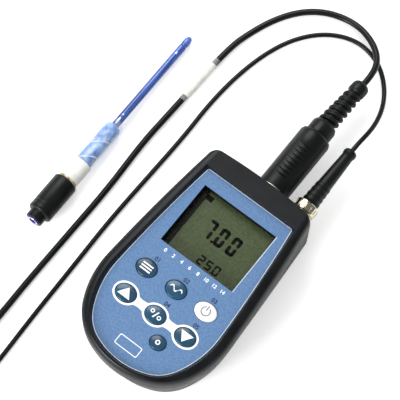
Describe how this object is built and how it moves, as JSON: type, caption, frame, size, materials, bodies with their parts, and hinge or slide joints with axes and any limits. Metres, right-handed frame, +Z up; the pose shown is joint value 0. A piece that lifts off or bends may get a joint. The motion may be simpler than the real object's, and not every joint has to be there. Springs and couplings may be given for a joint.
{
  "type": "portable pH meter",
  "caption": "Hand-held pH meter with a recessed display and oval keys, a temperature lead and an electrode lead, and its pH electrode beside it.",
  "frame": {"origin": "middle of the flat back face, on the surface that the meter lies on", "axes": "+X to the meter's right as its display is read, +Y towards its connector end, +Z up through its keys"},
  "size_m": [0.1773, 0.3798, 0.038],
  "materials": {
    "case_black": "satin black moulded plastic",
    "face_print": "blue printed film with a fine matt surface",
    "lens_clear": "clear",
    "display": "olive liquid-crystal glass",
    "frame_dark": "matt",
    "contact_rubber": "matt",
    "board": "green solder mask",
    "components": "matt",
    "key_rubber": "satin dark teal",
    "key_white": "satin white",
    "mat_rubber": "matt",
    "cell_metal": "satin",
    "spring_metal": "bright",
    "screw_metal": "bright",
    "nickel": "bright nickel",
    "insert_plastic": "natural",
    "gold": "bright",
    "plug_plastic": "satin",
    "relief_rubber": "matt",
    "plug_metal": "bright nickel",
    "lead_black": "satin",
    "tie_rubber": "matt",
    "label_white": "satin",
    "steel": "brushed",
    "glass_blue": "clear, with blue gel inside",
    "stem_blue": "clear, with blue fluid inside",
    "glass_tip": "clear"
  },
  "bodies": {
    "meter": {"battery_cell_1": "cell_metal", "battery_cell_2": "cell_metal", "battery_cell_3": "cell_metal", "battery_contacts": "spring_metal", "bayonet_body": "nickel", "bayonet_boot": "relief_rubber", "bayonet_pin": "gold", "bayonet_socket": "nickel", "board_components": "components", "cable_label": "label_white", "circuit_board": "board", "contact_strips": "contact_rubber", "display_frame": "frame_dark", "display_glass": "display", "display_lens": "lens_clear", "electrode_cable": "lead_black", "electrode_cable_coil": "lead_black", "electrode_cable_tail": "lead_black", "electrode_coil_ties": "tie_rubber", "electrode_head": "plug_plastic", "electrode_label": "label_white", "electrode_stem": "stem_blue", "electrode_tip": "glass_tip", "electrode_tube": "glass_blue", "face_plate": "face_print", "front_housing": "case_black", "head_contact": "gold", "head_insulator": "insert_plastic", "jack_contact": "gold", "jack_insulator": "insert_plastic", "key_mat": "mat_rubber", "plug_barrel": "nickel", "plug_body": "plug_plastic", "plug_collar": "plug_plastic", "plug_insert": "insert_plastic", "plug_pins": "gold", "plug_relief": "relief_rubber", "probe_cable": "lead_black", "probe_cable_coil": "lead_black", "probe_cable_tail": "lead_black", "probe_coil_ties": "tie_rubber", "probe_handle": "plug_plastic", "probe_stem": "steel", "rear_housing": "case_black", "reference_tube": "glass_blue", "round_socket": "nickel", "screw_plug_body": "plug_metal", "screw_plug_boot": "relief_rubber", "screws": "screw_metal", "socket_insert": "insert_plastic"},
    "data_key": {"data_key": "key_rubber"},
    "measure_key": {"measure_key": "key_rubber"},
    "power_key": {"power_key": "key_white"},
    "up_key": {"up_key": "key_rubber"},
    "unit_key": {"unit_key": "key_rubber"},
    "down_key": {"down_key": "key_rubber"},
    "cal_key": {"cal_key": "key_rubber"},
    "battery_cover": {"battery_cover": "case_black"},
    "bayonet_ring": {"bayonet_ring": "nickel"},
    "screw_plug_nut": {"screw_plug_nut": "plug_plastic"}
  },
  "joints": [
    {"name": "data_key_press", "type": "slide", "parent": "meter", "child": "data_key", "axis": [0, 0, -1], "range_m": [0, 0.0009], "stiffness_N_per_m": 1500},
    {"name": "measure_key_press", "type": "slide", "parent": "meter", "child": "measure_key", "axis": [0, 0, -1], "range_m": [0, 0.0009], "stiffness_N_per_m": 1500},
    {"name": "power_key_press", "type": "slide", "parent": "meter", "child": "power_key", "axis": [0, 0, -1], "range_m": [0, 0.0009], "stiffness_N_per_m": 1500},
    {"name": "up_key_press", "type": "slide", "parent": "meter", "child": "up_key", "axis": [0, 0, -1], "range_m": [0, 0.0009], "stiffness_N_per_m": 1500},
    {"name": "unit_key_press", "type": "slide", "parent": "meter", "child": "unit_key", "axis": [0, 0, -1], "range_m": [0, 0.0009], "stiffness_N_per_m": 1500},
    {"name": "down_key_press", "type": "slide", "parent": "meter", "child": "down_key", "axis": [0, 0, -1], "range_m": [0, 0.0009], "stiffness_N_per_m": 1500},
    {"name": "cal_key_press", "type": "slide", "parent": "meter", "child": "cal_key", "axis": [0, 0, -1], "range_m": [0, 0.0009], "stiffness_N_per_m": 1500},
    {"name": "battery_cover_slide", "type": "slide", "parent": "meter", "child": "battery_cover", "axis": [0, -1, 0], "range_m": [0, 0.056]},
    {"name": "bayonet_ring_turn", "type": "hinge", "parent": "meter", "child": "bayonet_ring", "pos_m": [0.0257, 0.0772, 0.019], "axis": [0, 1, 0], "range_deg": [0, 90]},
    {"name": "screw_plug_nut_turn", "type": "hinge", "parent": "meter", "child": "screw_plug_nut", "pos_m": [-0.0065, -0.164, 0.008], "axis": [1, 0, 0], "continuous": true}
  ]
}
